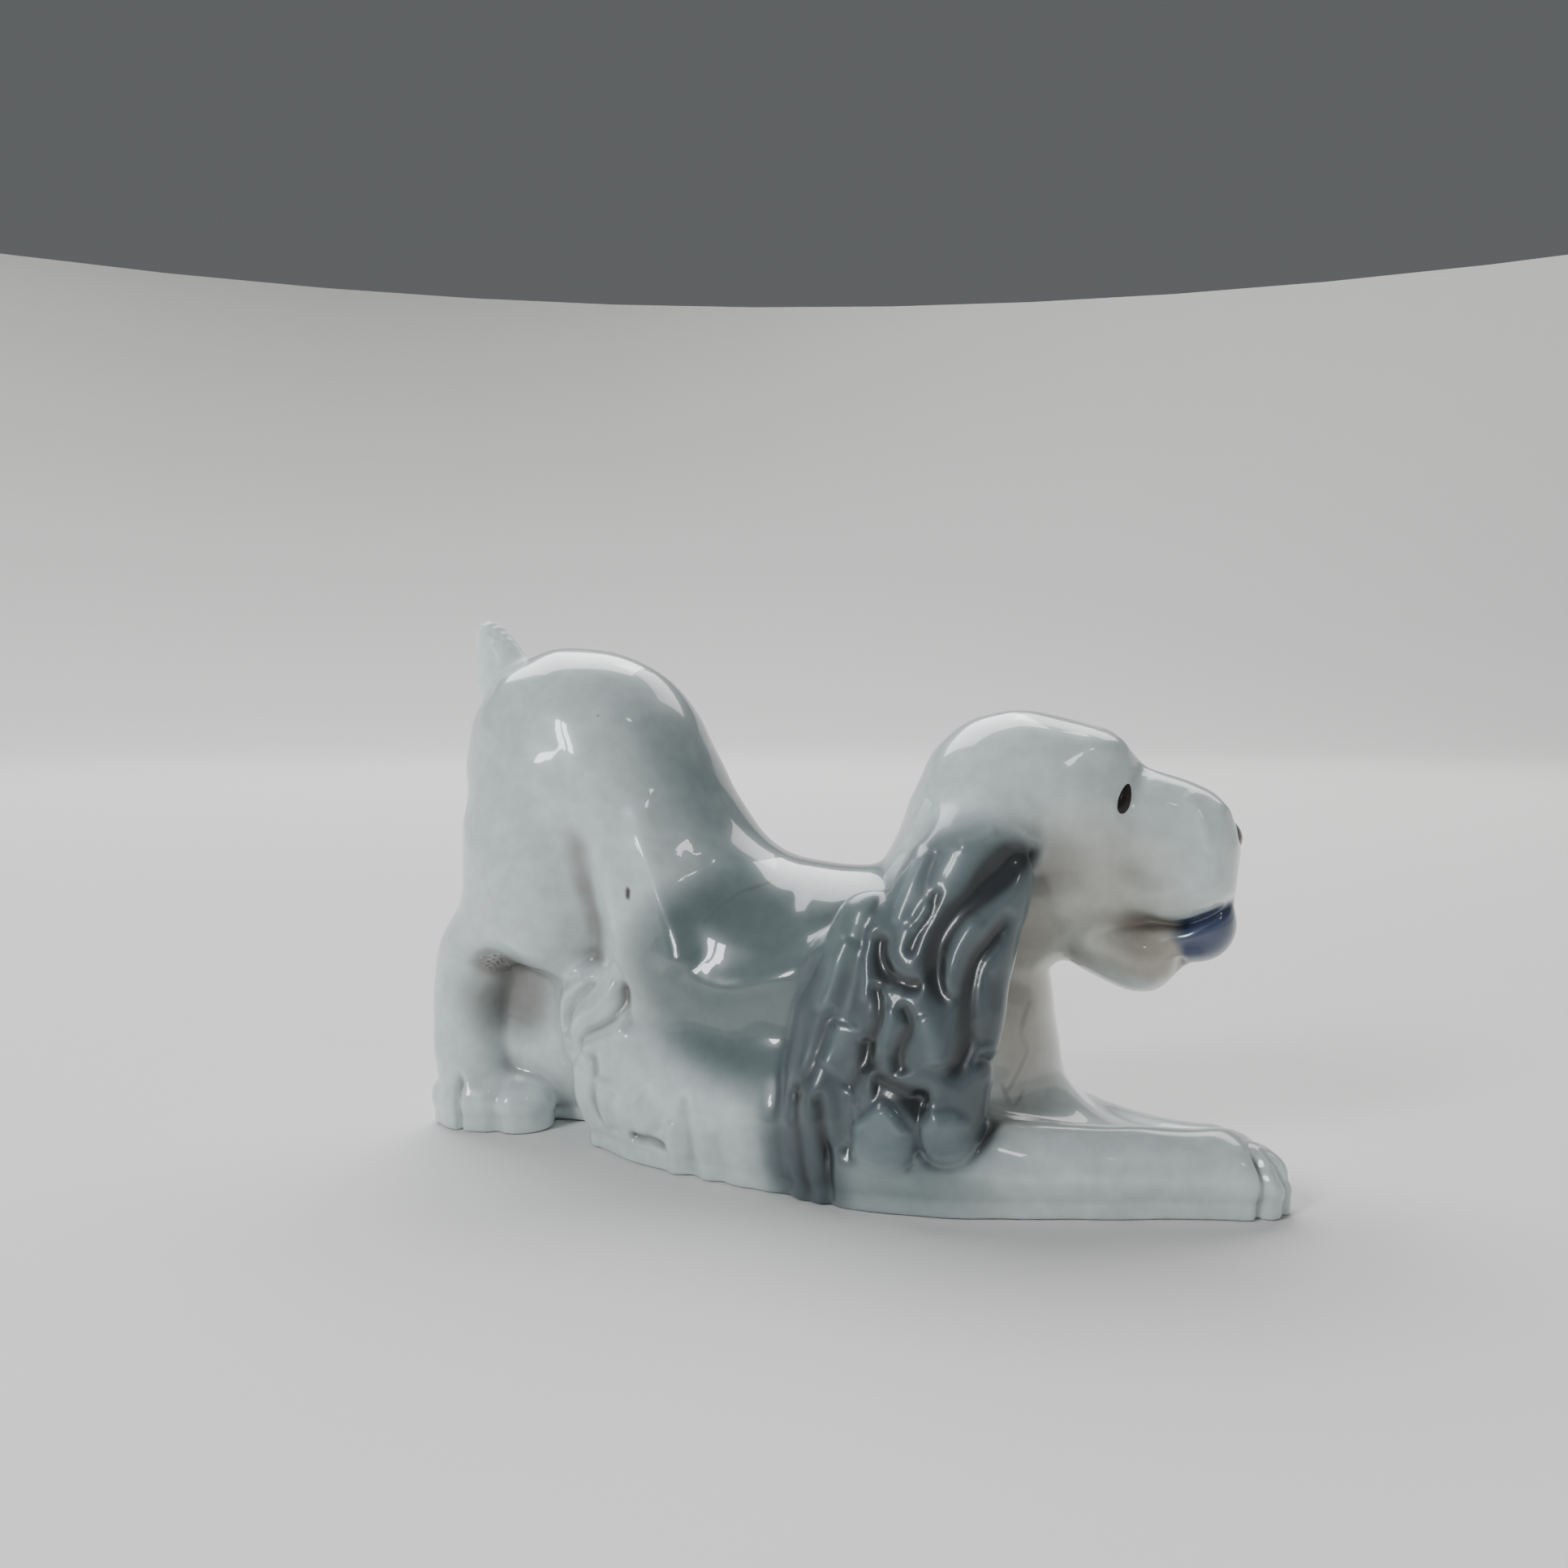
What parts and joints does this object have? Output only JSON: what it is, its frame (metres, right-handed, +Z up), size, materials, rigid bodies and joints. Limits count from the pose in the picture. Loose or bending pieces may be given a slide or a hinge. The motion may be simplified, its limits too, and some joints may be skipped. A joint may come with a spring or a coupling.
{
  "type": "dog figurine",
  "caption": "Glazed ceramic figurine of a long-eared spaniel in a play bow, rump up and forelegs flat on the table.",
  "frame": {"origin": "on the table, at the centre of the footprint", "axes": "+X towards the dog's nose, +Y to the dog's left, +Z up"},
  "size_m": [0.0608, 0.0279, 0.0372],
  "materials": {
    "white_glaze": "gloss, with grey-blue airbrushing over the back",
    "ear_glaze": "gloss",
    "tail_glaze": "thin, half matt",
    "tongue_glaze": "gloss",
    "enamel": "satin, painted over the glaze"
  },
  "bodies": {
    "root": {"torso": "white_glaze", "head": "white_glaze", "lower_jaw": "white_glaze", "tongue": "tongue_glaze", "nose": "enamel", "right_eye": "enamel", "left_eye": "enamel", "right_ear": "ear_glaze", "left_ear": "ear_glaze", "tail": "tail_glaze", "right_foreleg": "white_glaze", "left_foreleg": "white_glaze", "foreleg_web": "white_glaze", "right_hind_leg": "white_glaze", "left_hind_leg": "white_glaze", "hind_leg_web": "white_glaze", "right_feathering": "white_glaze", "left_feathering": "white_glaze"}
  },
  "joints": []
}
